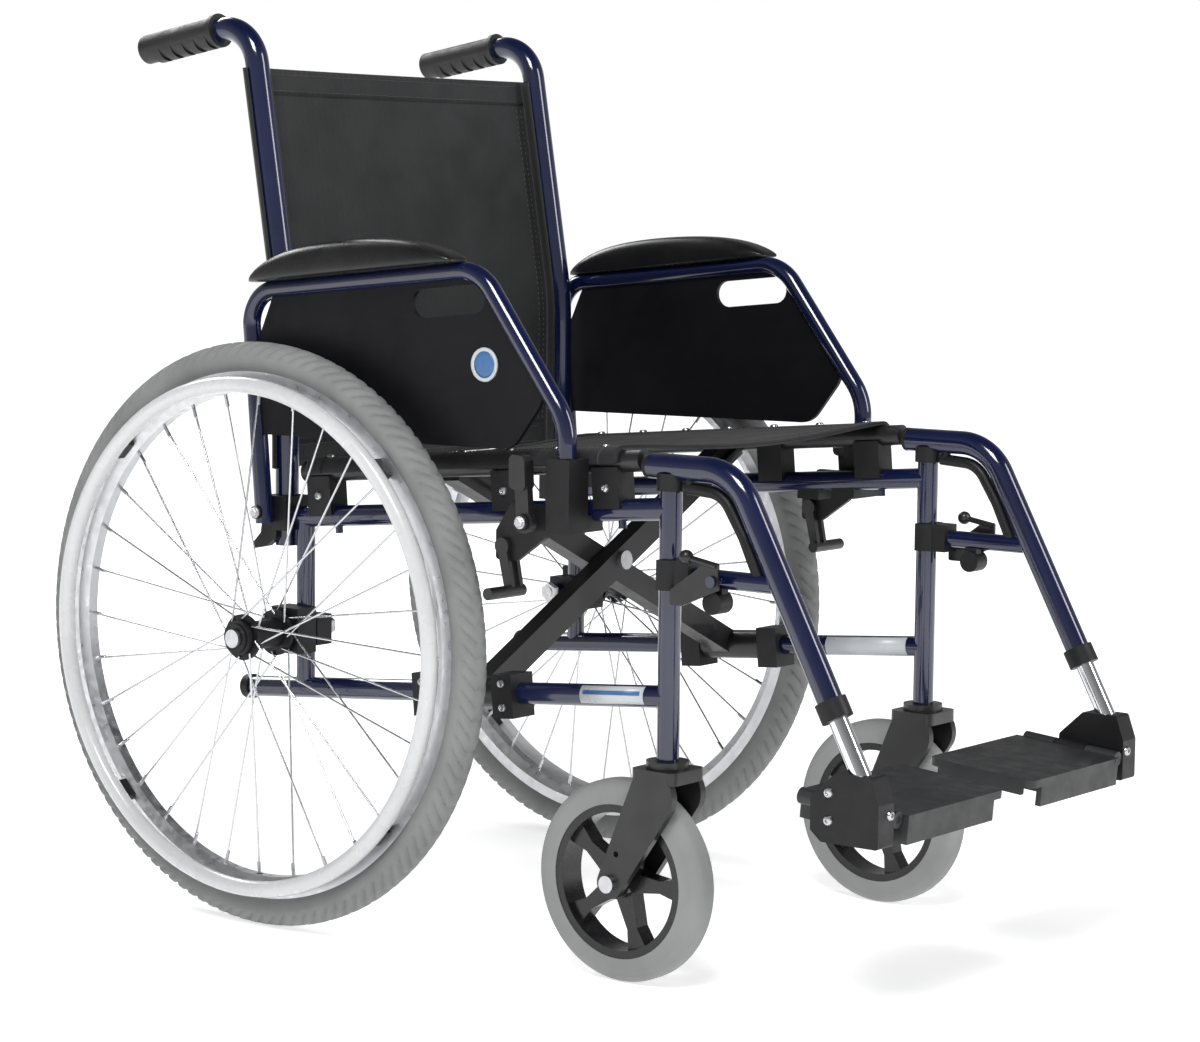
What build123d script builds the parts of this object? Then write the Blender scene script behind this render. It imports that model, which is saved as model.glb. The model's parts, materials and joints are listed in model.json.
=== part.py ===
from build123d import *
import os
from math import atan2, cos, degrees, hypot, radians, sin, sqrt, tan

# Folding self-propelled wheelchair, millimetres.  Z is up, the chair faces -Y and its right side is -X.
# Stations are written as (o, f, z): o outboard of the middle plane, f forward of the rear axle, z above
# the floor.  Every piece is built on the right side and mirrored for the left.

# ---- wheels ----
WHEEL_R = 305.0          # rear tyre, outside
TYRE_D = 35.0            # rear tyre section
WHEEL_OUT = 62.0         # rear wheel plane outboard of the frame plane
TYRE_WALL = 5.0
VALVE_D = 8.5
RIM_R = 275.0            # rim flange tips
RIM_W = 24.0
RIM_DEPTH = 22.0
SPOKES = 32
SPOKE_D = 2.2
FLANGE_R = 24.0          # hub flanges
FLANGE_A = 24.0          # hub flange distance from the wheel plane
HUB_R = 15.0
HUB_OUT = 36.0           # hub barrel ends, from the wheel plane
HUB_IN = 28.0
AXLE_D = 12.0
HANDRIM_R = 262.0        # centreline of the hand rim
HANDRIM_D = 17.0
HANDRIM_A = 30.0         # hand rim plane outboard of the wheel plane
TABS = 4
CASTER_R = 100.0
CASTER_W = 32.0
CASTER_RIM_R = 76.0
CASTER_TRAIL = 49.0      # axle behind the swivel axis
CASTER_SPOKES = 5
CASTER_AXLE_D = 10.0
SHOULDER_R = 26.0        # rounded shoulder of the fork
COLLAR_R = 21.0          # round collar under the frame's upright
COLLAR_T = 7.0
FORK_TIP_R = 15.0

# ---- side frame ----
FRAME_X = 228.0          # plane of each side frame
FRAME_D = 22.0
FRAME_WALL = 2.0
RAIL_TILT = 5.0          # both rails climb towards the front
LOW_RAIL_Z = 242.6       # lower rail axis above the floor at the rear axle
RAIL_GAP = 180.8         # between the rail axes, square to them
SEAT_RISE = 47.2         # seat tube above the upper rail, square to it
LOW_RAIL_TAIL = 78.0     # lower rail behind the rear axle
RAIL_STOP = 24.0         # solid front end of the lower rail
FRONT_F = 487.0          # front upright and swivel axis
FRONT_TOP = 484.0
FRONT_BOTTOM = 224.0
REAR_F = 7.5             # rear upright
REAR_D = 20.0
SLEEVE_D = 18.0          # axle sleeve let into the rear upright
SLEEVE_IN = 36.0         # sleeve reach inboard of the frame plane
SLEEVE_OUT = 31.0        # and outboard

# ---- back ----
CANE_D = 25.0
CANE_WALL = 1.5
CANE_F = -20.0
CANE_BOTTOM = 393.0
LUMBAR_Z = 645.0
CANE_LEAN = 9.8
CANE_TOP = 941.0         # corner of the push handle
HANDLE_DROOP = 9.3
HANDLE_L = 155.0         # tube beyond the corner
GRIP_L = 112.0
GRIP_D = 31.0
SLING_T = 4.0
BACK_LOW = 474.0
BACK_HIGH = 893.0

# ---- cross brace and seat ----
BRACE_S = 240.0          # station of the pair of bars along the rails
BAR_W = 22.0             # along the rails
BAR_H = 26.0
BAR_WALL = 2.0
BAR_GAP = 2.0            # between the two bars
BRACE_BOLT_D = 10.0
FOOT_D = 32.0            # pivot sleeve of a bar, round the lower rail
FOOT_L = 78.0
BLOCK_L = 26.0           # bearing block on each side of the pivot sleeve
SEAT_REAR_S = 34.0
SEAT_FRONT_S = 476.0
SADDLES = (40.0, 292.0, 420.0)
SADDLE_L = 32.0

# ---- armrest ----
ARM_X = 30.0             # armrest plane outboard of the frame plane
ARM_D = 19.0
ARM_WALL = 1.5
ARM_PIVOT_F = -25.0
ARM_PIVOT_Z = 430.0
ARM_TILT = 5.5
ARM_REAR_Z = 660.0       # upper rear corner of the tube
ARM_FRONT_F = 271.0      # upper front corner
ARM_LEG_F = 383.0
ARM_KNEE_Z = 545.0       # slope meets the front leg
ARM_LEG_Z = 476.5
PANEL_T = 5.0
PAD_L = 276.0
PAD_W = 48.0
PAD_F = -28.0            # rear end of the pad
PAD_T = 40.0

# ---- hanger and footrest ----
HANGER_D = 25.0
HANGER_Z = 507.0
HANGER_BACK = 23.0       # tube behind the swivel axis
HANGER_BEND_F = 562.0
HANGER_ANGLE = 28.5      # slope from the vertical
HANGER_END_Z = 288.0
CROSSBAR_Z = 404.0
CROSSBAR_D = 18.0
FOOT_TUBE_D = 19.0
FOOT_TUBE_IN = 125.0     # length kept inside the hanger
FOOT_TUBE_Z = 214.0      # lower end
HINGE_O = 206.0          # footplate hinge line
HINGE_Z = 200.0
HINGE_F = 682.0
PLATE_TILT = -5.0        # the toe end is the lower
PLATE_L = 120.0
PLATE_T = 8.0
PLATE_SKIRT = 24.0       # wall under the front and rear edges
PLATE_LIP = 12.0         # wall under the inner edge
CLAMP_T = 13.0           # clamp outboard of the frame plane
CLAMP_LOW, CLAMP_STEP, CLAMP_HIGH = 172.0, 213.0, 238.0
CLAMP_TOE = 737.0
PLATE_GAP = 50.0         # between the two footplates

# ---- fits ----
RUN = 0.05               # radial clearance of a turning or sliding fit
SOFT = 0.3               # clearance of a soft or resting face
SIDE = 1.0               # axial clearance beside a turning piece

tau = radians(RAIL_TILT)
Z_AXLE = WHEEL_R
WHEEL_O = FRAME_X + WHEEL_OUT
ARM_O = FRAME_X + ARM_X
SEAT_T = RAIL_GAP + SEAT_RISE
ptilt = radians(PLATE_TILT)
TOE_F = HINGE_F + PLATE_L / 2 * cos(ptilt) + max(PLATE_SKIRT * sin(ptilt), -PLATE_T / 2 * sin(ptilt))
Y0 = (TOE_F - WHEEL_R) / 2           # puts the origin under the middle of the bounding box


def V(o, f, z):
    return Vector(-o, Y0 - f, z)


def R(o, s, t):
    """Point s along and t square to the lower rail."""
    return V(o, s * cos(tau) - t * sin(tau), LOW_RAIL_Z + s * sin(tau) + t * cos(tau))


def s_at(f, t=0.0):
    return (f + t * sin(tau)) / cos(tau)


def up_z(f):
    """Height of the upper rail's axis."""
    return LOW_RAIL_Z + RAIL_GAP / cos(tau) + f * tan(tau)


def rod(p, q, r):
    d = q - p
    return extrude(Plane(origin=p, z_dir=d) * Circle(r), amount=d.length)


def tube(p, q, ro, ri):
    d = (q - p).normalized()
    return rod(p, q, ro) - rod(p - d, q + d, ri)


def sweep_tube(pts, radii, ro, ri=None):
    path = FilletPolyline(*pts, radius=radii)
    ring = Circle(ro) if ri is None else Circle(ro) - Circle(ri)
    return sweep(Plane(origin=path @ 0, z_dir=path % 0) * ring, path=path)


def box(o0, o1, f0, f1, z0, z1):
    return Pos(V((o0 + o1) / 2, (f0 + f1) / 2, (z0 + z1) / 2)) * Box(o1 - o0, f1 - f0, z1 - z0)


def rail_box(o0, o1, s0, s1, t0, t1):
    frame = Plane(origin=R(0, 0, 0), x_dir=(1, 0, 0), z_dir=(0, sin(tau), cos(tau)))
    return frame * Pos(-(o0 + o1) / 2, -(s0 + s1) / 2, (t0 + t1) / 2) * Box(o1 - o0, s1 - s0, t1 - t0)


def side_plane(o):
    """Side view: local x forward, local y up, extruding outboard."""
    return Plane(origin=(-o, Y0, 0), x_dir=(0, -1, 0), z_dir=(-1, 0, 0))


def plate(o0, o1, pts, fillet_r=0.0, holes=()):
    face = make_face(Polyline(*pts, close=True))
    if fillet_r:
        face = fillet(face.vertices(), fillet_r)
    for (f, z, r) in holes:
        face -= Pos(f, z) * Circle(r)
    return extrude(side_plane(o0) * face, amount=o1 - o0)


def cross(o0, o1, f, z, r):
    """Round bar square to the side planes."""
    return rod(V(o0, f, z), V(o1, f, z), r)


def wheel_plane(o, f, z):
    """Radial x, outboard y, for profiles turned about the wheel's axle."""
    return Plane(origin=V(o, f, z), x_dir=(0, 0, 1), z_dir=(0, -1, 0))


def turned(o, f, z, face):
    return revolve(wheel_plane(o, f, z) * face, Axis(V(o, f, z), (1, 0, 0)))


def rect(r0, r1, a0, a1):
    return Pos((r0 + r1) / 2, (a0 + a1) / 2) * Rectangle(r1 - r0, a1 - a0)


nodes = {}


def both(name, shape):
    nodes["right_" + name] = shape
    nodes["left_" + name] = mirror(shape, about=Plane.YZ)


def group(*solids):
    out = []
    for s in solids:
        out += list(s.solids())
    return Compound(children=out)


# ================= side frame =================
fr = FRAME_D / 2
fi = fr - FRAME_WALL
low_outer = rod(R(FRAME_X, -LOW_RAIL_TAIL, 0), R(FRAME_X, s_at(FRONT_F), 0), fr)
up_outer = rod(R(FRAME_X, s_at(CANE_F, RAIL_GAP), RAIL_GAP), R(FRAME_X, s_at(FRONT_F, RAIL_GAP), RAIL_GAP), fr)
front_outer = rod(V(FRAME_X, FRONT_F, FRONT_BOTTOM), V(FRAME_X, FRONT_F, FRONT_TOP), fr)
rear_outer = rod(V(FRAME_X, REAR_F, LOW_RAIL_Z), V(FRAME_X, REAR_F, up_z(REAR_F)), REAR_D / 2)
sleeve_outer = cross(FRAME_X - SLEEVE_IN, FRAME_X + SLEEVE_OUT, 0, Z_AXLE, SLEEVE_D / 2)

lean = radians(CANE_LEAN)
droop = radians(HANDLE_DROOP)
cane_top_f = CANE_F - (CANE_TOP - LUMBAR_Z) * tan(lean)


def handle(d):
    """Point d along the push handle from its corner."""
    return V(FRAME_X, cane_top_f - d * cos(droop), CANE_TOP - d * sin(droop))


cane_pts = [V(FRAME_X, CANE_F, CANE_BOTTOM), V(FRAME_X, CANE_F, LUMBAR_Z),
            V(FRAME_X, cane_top_f, CANE_TOP), handle(HANDLE_L)]
grip_d0 = HANDLE_L + SLING_T - GRIP_L
cane_radii = [300.0, grip_d0 - 3.0]
cane_outer = sweep_tube(cane_pts, cane_radii, CANE_D / 2)
cane = sweep_tube(cane_pts, cane_radii, CANE_D / 2, CANE_D / 2 - CANE_WALL)

low_rail = rod(R(FRAME_X, -LOW_RAIL_TAIL, 0), R(FRAME_X, s_at(FRONT_F), 0), fr)
low_rail -= rod(R(FRAME_X, -LOW_RAIL_TAIL - 1, 0), R(FRAME_X, s_at(FRONT_F) - RAIL_STOP, 0), fi)
low_rail -= front_outer
up_rail = tube(R(FRAME_X, s_at(CANE_F, RAIL_GAP), RAIL_GAP),
               R(FRAME_X, s_at(FRONT_F, RAIL_GAP), RAIL_GAP), fr, fi) - front_outer - cane_outer
front_tube = tube(V(FRAME_X, FRONT_F, FRONT_BOTTOM), V(FRAME_X, FRONT_F, FRONT_TOP), fr, fi)
rear_tube = tube(V(FRAME_X, REAR_F, LOW_RAIL_Z), V(FRAME_X, REAR_F, up_z(REAR_F)), REAR_D / 2, REAR_D / 2 - FRAME_WALL)
rear_tube = rear_tube - low_outer - up_outer - sleeve_outer
sleeve = sleeve_outer - cross(FRAME_X - SLEEVE_IN - 1, FRAME_X + SLEEVE_OUT + 1, 0, Z_AXLE, AXLE_D / 2 + RUN)
studs = [rod(R(FRAME_X, s, RAIL_GAP - fr + 1), R(FRAME_X, s, RAIL_GAP - fr - 7), 4.0) - up_outer
         for s in (70.0, 445.0)]


def biggest(shape):
    return max(shape.solids(), key=lambda s: s.volume)


side_frame = [biggest(low_rail), biggest(up_rail), biggest(front_tube), biggest(rear_tube), sleeve, *studs]
both("side_frame", group(*side_frame))
both("back_cane", cane)

# push grip: a sleeve over the handle with finger ridges underneath and a flange at its inner end
g0, g1 = grip_d0, grip_d0 + GRIP_L
grip = rod(handle(g0), handle(g1), GRIP_D / 2)
down = Vector(0, sin(droop), -cos(droop))
step = (GRIP_L - 24.0) / 5
for i in range(5):
    a = g0 + 10.0 + i * step
    grip += rod(handle(a) + down * 3.2, handle(a + step * 0.62) + down * 3.2, GRIP_D / 2 - 0.6)
grip += rod(handle(g0), handle(g0 + 5.0), GRIP_D / 2 + 2.5)
grip -= rod(handle(g0 - 5), handle(HANDLE_L), CANE_D / 2)
both("push_grip", grip)

# ================= rear wheel =================
half_w = RIM_W / 2
rim_in = RIM_R - RIM_DEPTH
wall = 2.0
rim_face = make_face(Polyline(
    (RIM_R, half_w), (RIM_R, half_w - wall), (RIM_R - 12, half_w - wall - 1), (rim_in + 4, 4.5),
    (rim_in + 4, -4.5), (RIM_R - 12, -half_w + wall + 1), (RIM_R, -half_w + wall), (RIM_R, -half_w),
    (RIM_R - 12, -half_w), (rim_in, -6.0), (rim_in, 6.0), (RIM_R - 12, half_w), close=True))
rim = turned(WHEEL_O, 0, Z_AXLE, rim_face)
tr = TYRE_D / 2
bead_w = half_w - wall - 1.2
tyre_face = Pos(WHEEL_R - tr, 0) * Circle(tr) - rect(RIM_R - 40, RIM_R + 0.1, -tr, tr)
tyre_face += rect(RIM_R - 11, RIM_R + 2, -bead_w, bead_w)
tyre_face -= Pos(WHEEL_R - tr, 0) * Circle(tr - TYRE_WALL)
tyre_ring = turned(WHEEL_O, 0, Z_AXLE, tyre_face)
# the valve passes through the rim and the foot of the tyre
valve = rod(V(WHEEL_O, 0, Z_AXLE - rim_in + 5), V(WHEEL_O, 0, Z_AXLE - WHEEL_R + tr), VALVE_D / 2)
both("tyre", tyre_ring - valve)
rim -= valve
both("rim", rim)

hub_face = rect(AXLE_D / 2 + RUN, HUB_R, -HUB_IN, HUB_OUT)
for a in (-FLANGE_A, FLANGE_A):
    hub_face += rect(HUB_R - 1, FLANGE_R, a - 2, a + 2)
hub_face += rect(HUB_R - 1, HUB_R + 3, HUB_OUT - 8, HUB_OUT - 2)
hub = turned(WHEEL_O, 0, Z_AXLE, hub_face)

spokes = []
cross_turn = radians(360.0 / SPOKES * 3.5)
sr = SPOKE_D / 2
for i in range(SPOKES):
    ang = radians(360.0 * i / SPOKES)
    outer = i % 2 == 0
    lead = (i // 2) % 2 == 0
    a = FLANGE_A if outer else -FLANGE_A
    a += (2.0 + sr) * (1 if lead == outer else -1)
    hub_ang = ang + (cross_turn if lead else -cross_turn)
    r0, r1 = FLANGE_R - 4.0, rim_in
    p = V(WHEEL_O + a, r0 * cos(hub_ang), Z_AXLE + r0 * sin(hub_ang))
    q = V(WHEEL_O, r1 * cos(ang), Z_AXLE + r1 * sin(ang))
    spokes.append(rod(p, q, sr) - rim - hub)
both("spokes", group(*[biggest(s) for s in spokes]))

hr = HANDRIM_D / 2
handrim_o = WHEEL_O + HANDRIM_A
handrim = turned(handrim_o, 0, Z_AXLE, Pos(HANDRIM_R, 0) * Circle(hr) - Pos(HANDRIM_R, 0) * Circle(hr - 1.6))
handrim_outer = turned(handrim_o, 0, Z_AXLE, Pos(HANDRIM_R, 0) * Circle(hr))
# one vent hole on the inner side keeps the ring's bore open
handrim -= rod(V(handrim_o, 0, Z_AXLE + HANDRIM_R - hr - 1), V(handrim_o, 0, Z_AXLE + HANDRIM_R), 1.5)
both("handrim", handrim)

tabs = []
rim_side = WHEEL_O + half_w
for i in range(TABS):
    t = 45.0 + 360.0 / TABS * i
    tab = box(rim_side, handrim_o + 1, -11, 11, Z_AXLE + HANDRIM_R - 5, Z_AXLE + HANDRIM_R + 4)
    tab = tab.rotate(Axis(V(0, 0, Z_AXLE), (1, 0, 0)), t)
    tabs.append(biggest(tab - handrim_outer - rim))
both("hub", group(hub, *tabs))

axle_in = FRAME_X - SLEEVE_IN - 8
axle = cross(axle_in, WHEEL_O + HUB_OUT + 3, 0, Z_AXLE, AXLE_D / 2)
nut = extrude(Plane(origin=V(FRAME_X - SLEEVE_IN - 0.2, 0, Z_AXLE), z_dir=(1, 0, 0)) * RegularPolygon(11, 6), 7)
cap = cross(WHEEL_O + HUB_OUT + SIDE, WHEEL_O + HUB_OUT + 5, 0, Z_AXLE, 9.5)
spacer = cross(FRAME_X + SLEEVE_OUT, WHEEL_O - HUB_IN - 0.5, 0, Z_AXLE, 9.0)
both("wheel_axle", axle + nut + cap + spacer)

receiver = box(FRAME_X + 2, FRAME_X + SLEEVE_OUT - 1, -15, 24, Z_AXLE - 22, Z_AXLE + 26)
receiver += box(FRAME_X - 24, FRAME_X - 2, -13, 22, Z_AXLE - 16, Z_AXLE + 16)
receiver -= rear_outer
receiver -= sleeve_outer
both("axle_receiver", group(*[s for s in receiver.solids() if s.volume > 200]))

# ================= caster =================
axle_f = FRONT_F - CASTER_TRAIL
cz = CASTER_R
cheek0, cheek1 = CASTER_W / 2 + 3.0, CASTER_W / 2 + 11.0
crown_z0 = 2 * CASTER_R + 4.0
crown_z1 = FRONT_BOTTOM - SOFT
cheek_t = cheek1 - cheek0
shoulder_z = crown_z1 - COLLAR_T - SHOULDER_R
fork = box(FRAME_X - cheek1, FRAME_X + cheek1, FRONT_F - SHOULDER_R, FRONT_F + SHOULDER_R, crown_z0,
           crown_z1 - COLLAR_T)
fork = fillet(fork.edges().filter_by(Axis.Z), 8.0)
fork += rod(V(FRAME_X, FRONT_F, crown_z1 - COLLAR_T - 1), V(FRAME_X, FRONT_F, crown_z1), COLLAR_R)
leg_face = make_face(make_hull((Pos(FRONT_F, shoulder_z) * Circle(SHOULDER_R)).edges() +
                               (Pos(axle_f, cz) * Circle(FORK_TIP_R)).edges()))
leg_face -= Pos(axle_f + 8, cz + 30) * Circle(3.0)
for o0 in (FRAME_X - cheek1, FRAME_X + cheek0):
    fork += extrude(side_plane(o0) * leg_face, amount=cheek_t)
fork -= cross(FRAME_X - cheek1 - 1, FRAME_X + cheek1 + 1, axle_f, cz, CASTER_AXLE_D / 2)
fork += rod(V(FRAME_X, FRONT_F, crown_z1 - 4), V(FRAME_X, FRONT_F, crown_z1 + 76), fi - RUN)
both("caster_fork", fork)
bolt = cross(FRAME_X - cheek1 - 5, FRAME_X + cheek1 + 5, axle_f, cz, CASTER_AXLE_D / 2)
bolt += cross(FRAME_X + cheek1, FRAME_X + cheek1 + 6, axle_f, cz, 8.5)
bolt += cross(FRAME_X - cheek1 - 6, FRAME_X - cheek1, axle_f, cz, 8.5)
both("caster_axle", bolt)
cw = CASTER_W / 2
ct_face = fillet(rect(CASTER_RIM_R, CASTER_R, -cw, cw).vertices().sort_by(Axis.X)[-2:], 11.0)
both("caster_tyre", turned(FRAME_X, axle_f, cz, ct_face))
ch_face = rect(CASTER_RIM_R - 8, CASTER_RIM_R, -cw + 1, cw - 1)
ch_face += rect(CASTER_AXLE_D / 2 + RUN, 17.0, -cw - 1.5, cw + 1.5)
ch = turned(FRAME_X, axle_f, cz, ch_face)
arm = plate(FRAME_X - 9, FRAME_X + 9, [(axle_f - 11, cz + 8), (axle_f + 11, cz + 8), (axle_f + 6, cz + 48),
            (axle_f + 12, cz + CASTER_RIM_R - 5), (axle_f - 12, cz + CASTER_RIM_R - 5), (axle_f - 6, cz + 48)])
arm -= cross(FRAME_X - 20, FRAME_X + 20, axle_f, cz, 12.0)
for i in range(CASTER_SPOKES):
    ch += arm.rotate(Axis(V(0, axle_f, cz), (1, 0, 0)), 18 + 360.0 / CASTER_SPOKES * i)
both("caster_hub", ch)

# ================= cross brace and seat tubes =================
# bar a runs from the right lower rail to the left seat tube, bar b the other way
alpha = atan2(SEAT_T, 2 * FRAME_X)


def bar(sign, s_mid):
    """A bar from o = sign*FRAME_X at the lower rail to the opposite seat tube."""
    foot, head = R(sign * FRAME_X, s_mid, 0), R(-sign * FRAME_X, s_mid, SEAT_T)
    d = head - foot
    u = R(0, 1, 0) - R(0, 0, 0)
    pl = Plane(origin=foot, x_dir=u, z_dir=d)
    solid = extrude(pl * Rectangle(BAR_W, BAR_H), amount=d.length - fr / 2)
    hollow = pl * Pos(0, 0, FOOT_D / 2 + 8) * extrude(
        Rectangle(BAR_W - 2 * BAR_WALL, BAR_H - 2 * BAR_WALL), amount=d.length - FOOT_D / 2 - 8 - fr - 8)
    sl = rod(R(sign * FRAME_X, BRACE_S - FOOT_L / 2, 0), R(sign * FRAME_X, BRACE_S + FOOT_L / 2, 0), FOOT_D / 2)
    seat = rod(R(-sign * FRAME_X, SEAT_REAR_S, SEAT_T), R(-sign * FRAME_X, SEAT_FRONT_S - 4, SEAT_T), fr)
    # gussets stiffen the bar under the seat tube
    dn = d.normalized()
    web = Plane(origin=head - dn * 60, x_dir=u, z_dir=d) * extrude(Rectangle(BAR_W + 16, 5), amount=56)
    web = web - solid - seat
    beam = biggest(solid - sl - seat - hollow)
    sl -= rod(R(sign * FRAME_X, BRACE_S - FOOT_L, 0), R(sign * FRAME_X, BRACE_S + FOOT_L, 0), fr + RUN)
    seat -= rod(R(-sign * FRAME_X, SEAT_REAR_S - 1, SEAT_T), R(-sign * FRAME_X, SEAT_FRONT_S, SEAT_T), fi)
    return beam, [sl, seat, *web.solids()]


front_s = BRACE_S + (BAR_W + BAR_GAP) / 2
rear_s = BRACE_S - (BAR_W + BAR_GAP) / 2
bar_a, ends_a = bar(1, front_s)
bar_b, ends_b = bar(-1, rear_s)
mid_t = SEAT_T / 2
bolt_r = BRACE_BOLT_D / 2
s_lo, s_hi = rear_s - BAR_W / 2, front_s + BAR_W / 2
hole = rod(R(0, s_lo - 5, mid_t), R(0, s_hi + 5, mid_t), bolt_r)
bar_a -= hole
bar_b -= rod(R(0, s_lo - 5, mid_t), R(0, s_hi + 5, mid_t), bolt_r + RUN)


def end_caps(o):
    return [rod(R(o, SEAT_FRONT_S - 4, SEAT_T), R(o, SEAT_FRONT_S, SEAT_T), fr),
            rod(R(o, SEAT_REAR_S - 4, SEAT_T), R(o, SEAT_REAR_S, SEAT_T), fr)]


nodes["brace_bar_a"] = group(bar_a, *ends_a, *end_caps(-FRAME_X))
nodes["brace_bar_b"] = group(bar_b, *ends_b, *end_caps(FRAME_X))
centre = hole - rod(R(0, s_lo - 20, mid_t), R(0, s_lo - 4, mid_t), 30)
centre += rod(R(0, s_hi, mid_t), R(0, s_hi + 6, mid_t), 10.0)
centre += rod(R(0, s_lo - 4, mid_t), R(0, s_lo - 0.4, mid_t), 10.0)
centre += rod(R(0, s_lo + BAR_W + 0.4, mid_t), R(0, s_hi - BAR_W, mid_t), 11.0)
nodes["brace_bolt"] = centre

# saddles that the seat tubes rest in, bearing blocks beside the pivot sleeves, and the tail ring
seat_outer = rod(R(FRAME_X, 0, SEAT_T), R(FRAME_X, 600, SEAT_T), fr + SOFT)
mounts = []
for s in SADDLES:
    block = rail_box(FRAME_X - 13, FRAME_X + 13, s, s + SADDLE_L, RAIL_GAP + 2, SEAT_T - 5)
    mounts.append(biggest(block - up_outer - seat_outer))
block_s = FOOT_L / 2 + SIDE
for s0, s1 in ((BRACE_S - block_s - BLOCK_L, BRACE_S - block_s), (BRACE_S + block_s, BRACE_S + block_s + BLOCK_L)):
    mounts.append(rail_box(FRAME_X - 17, FRAME_X + 17, s0, s1, -24, 20) - low_outer)
mounts.append(rod(R(FRAME_X, -LOW_RAIL_TAIL, 0), R(FRAME_X, -LOW_RAIL_TAIL + 10, 0), fr + 2) - low_outer)
both("brace_mounts", group(*mounts))

# ================= slings =================
sling_t = SEAT_T + fr + SOFT
nodes["seat_sling"] = rail_box(-FRAME_X - 10, FRAME_X + 10, SEAT_REAR_S + 2, SEAT_FRONT_S - 18,
                               sling_t, sling_t + SLING_T)
# the back sling hangs between the canes and follows their bend
back_o = FRAME_X - CANE_D / 2 - SOFT
back_pts = [(CANE_F, BACK_LOW), (CANE_F, LUMBAR_Z), (CANE_F - (BACK_HIGH - LUMBAR_Z) * tan(lean), BACK_HIGH)]
h = SLING_T / 2
nodes["back_sling"] = plate(-back_o, back_o, [(f - h, z) for f, z in back_pts] +
                            [(f + h, z) for f, z in reversed(back_pts)])

# ================= armrest =================
at = radians(ARM_TILT)
ar = ARM_D / 2
leg_lean = tau
arm_rear_f = ARM_PIVOT_F - (ARM_REAR_Z - ARM_PIVOT_Z) * tan(leg_lean)


def arm_z(f):
    """Height of the tube under the pad."""
    return ARM_REAR_Z + (f - arm_rear_f) * tan(at)


arm_pts = [V(ARM_O, ARM_PIVOT_F + 12 * tan(leg_lean), ARM_PIVOT_Z - 12), V(ARM_O, arm_rear_f, ARM_REAR_Z),
           V(ARM_O, ARM_FRONT_F, arm_z(ARM_FRONT_F)), V(ARM_O, ARM_LEG_F, ARM_KNEE_Z),
           V(ARM_O, ARM_LEG_F, ARM_LEG_Z)]
arm_radii = [38.0, 48.0, 60.0]
arm_outer = sweep_tube(arm_pts, arm_radii, ar)
arm_tube = sweep_tube(arm_pts, arm_radii, ar, ar - ARM_WALL)
PIN_R = 4.0
arm_tube -= cross(ARM_O - 20, ARM_O + 20, ARM_PIVOT_F, ARM_PIVOT_Z, PIN_R + RUN)
both("arm_tube", arm_tube)

pad_o0 = FRAME_X + CANE_D / 2 + 1.5
p1 = PAD_F + PAD_L
pad_pts = [(PAD_F, arm_z(PAD_F) + 6), (p1, arm_z(p1) + 6), (p1 + 4, arm_z(p1) + 16), (p1 - 14, arm_z(p1) + PAD_T - 2),
           (PAD_F + 0.62 * PAD_L, arm_z(PAD_F + 0.62 * PAD_L) + PAD_T + 6),
           (PAD_F + 0.34 * PAD_L, arm_z(PAD_F + 0.34 * PAD_L) + PAD_T),
           (PAD_F + 14, arm_z(PAD_F) + 24), (PAD_F - 2, arm_z(PAD_F) + 15)]
pad = plate(pad_o0, pad_o0 + PAD_W, pad_pts, 3.0)
pad = biggest(pad - arm_outer)
both("arm_pad", pad)

slope_f = ARM_LEG_F - ARM_FRONT_F
slope_z = arm_z(ARM_FRONT_F) - ARM_KNEE_Z
panel_low = up_z(0) + SEAT_RISE + 40
cut_f = ARM_FRONT_F + slope_f * (arm_z(ARM_FRONT_F) - panel_low - 62) / slope_z
panel_pts = [(arm_rear_f + 8, panel_low), (cut_f - 45, panel_low + 4), (cut_f, panel_low + 62),
             (ARM_FRONT_F, arm_z(ARM_FRONT_F)), (-6, arm_z(-6)), (arm_rear_f + 8, panel_low + 84)]
panel_face = make_face(Polyline(*panel_pts, close=True))
corners = sorted(panel_face.vertices(), key=lambda v: hypot(v.X - cut_f + 20, v.Y - panel_low - 20))[:2]
panel_face = fillet(corners, 28.0)
panel = extrude(side_plane(ARM_O - PANEL_T / 2) * panel_face, amount=PANEL_T)
HAND_L, HAND_H, HAND_F = 96.0, 29.0, 232.0
slot = SlotOverall(HAND_L, HAND_H, rotation=ARM_TILT)
panel -= extrude(side_plane(ARM_O - 10) * Pos(HAND_F, arm_z(HAND_F) - ar - 5 - HAND_H / 2) * slot, amount=20)
panel = biggest(panel - arm_outer)
both("arm_panel", panel)

# ================= black fittings on the upper rail and cane =================
cane_face = FRAME_X + CANE_D / 2
bracket = box(FRAME_X - 16, ARM_O - ar - 1, CANE_F - 17, CANE_F + 17, ARM_PIVOT_Z - 20, ARM_PIVOT_Z + 16)
bracket += cross(ARM_O - ar - 6, ARM_O + ar + 4, ARM_PIVOT_F, ARM_PIVOT_Z, PIN_R)
bracket += cross(ARM_O + ar + SIDE, ARM_O + ar + 4, ARM_PIVOT_F, ARM_PIVOT_Z, 7.0)
hook_z = ARM_PIVOT_Z - 20
bracket += plate(cane_face - 2, ARM_O - ar - 1, [(CANE_F - 17, hook_z + 14), (CANE_F + 4, hook_z + 14),
                 (CANE_F + 2, hook_z - 8), (CANE_F - 12, hook_z - 18), (CANE_F - 32, hook_z - 22),
                 (CANE_F - 30, hook_z - 14), (CANE_F - 20, hook_z - 4)])
bracket = bracket - cane_outer - up_outer - rear_outer
socket_z0 = up_z(ARM_LEG_F) - 19
leg_floor = ARM_LEG_Z - SOFT
sk0, sk1 = ARM_LEG_F - 14, ARM_LEG_F + 15
ck = ar + SIDE / 2
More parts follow.
